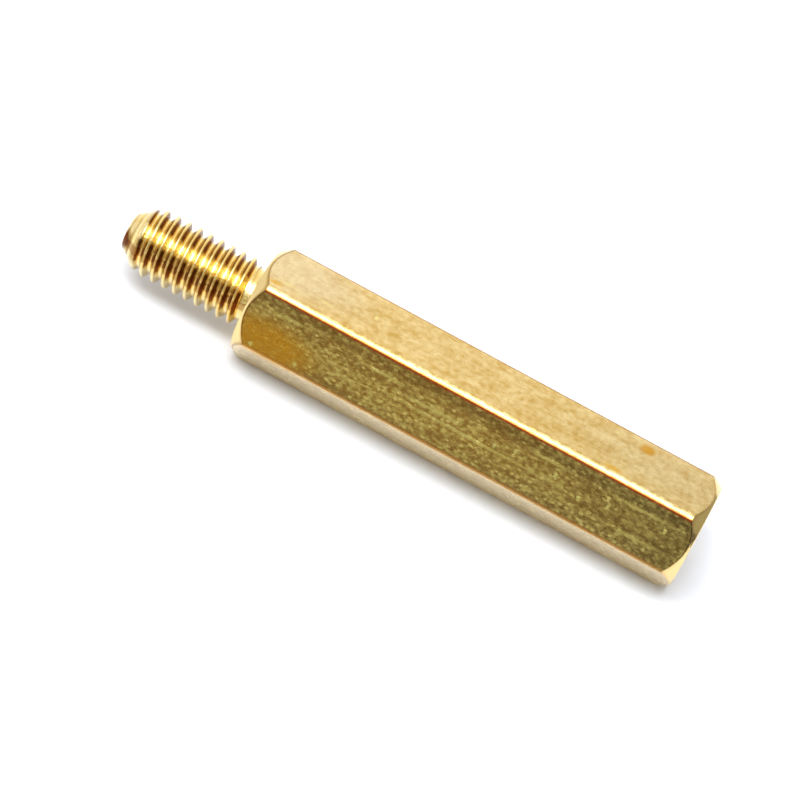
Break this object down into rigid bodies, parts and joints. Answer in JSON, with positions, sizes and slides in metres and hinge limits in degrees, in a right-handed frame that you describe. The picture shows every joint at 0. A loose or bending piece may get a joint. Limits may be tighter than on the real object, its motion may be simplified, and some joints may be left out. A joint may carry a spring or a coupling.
{
  "type": "hex standoff",
  "caption": "Slim brass hex standoff: a turned hexagonal pillar with a fine threaded stud and, opposite it, a blind tapped hole.",
  "frame": {"origin": "centre of the shoulder, where the stud leaves the hex body, on the thread's axis", "axes": "+X along the body towards the tapped end, with the stud along -X; two opposite flats face +Z and -Z, and the part lies on the one that faces -Z"},
  "size_m": [0.0258, 0.0052, 0.0044],
  "materials": {
    "brass": "bare drawn and turned brass, satin along the flats, bright on the turned ends"
  },
  "bodies": {
    "root": {"standoff": "brass"}
  },
  "joints": []
}
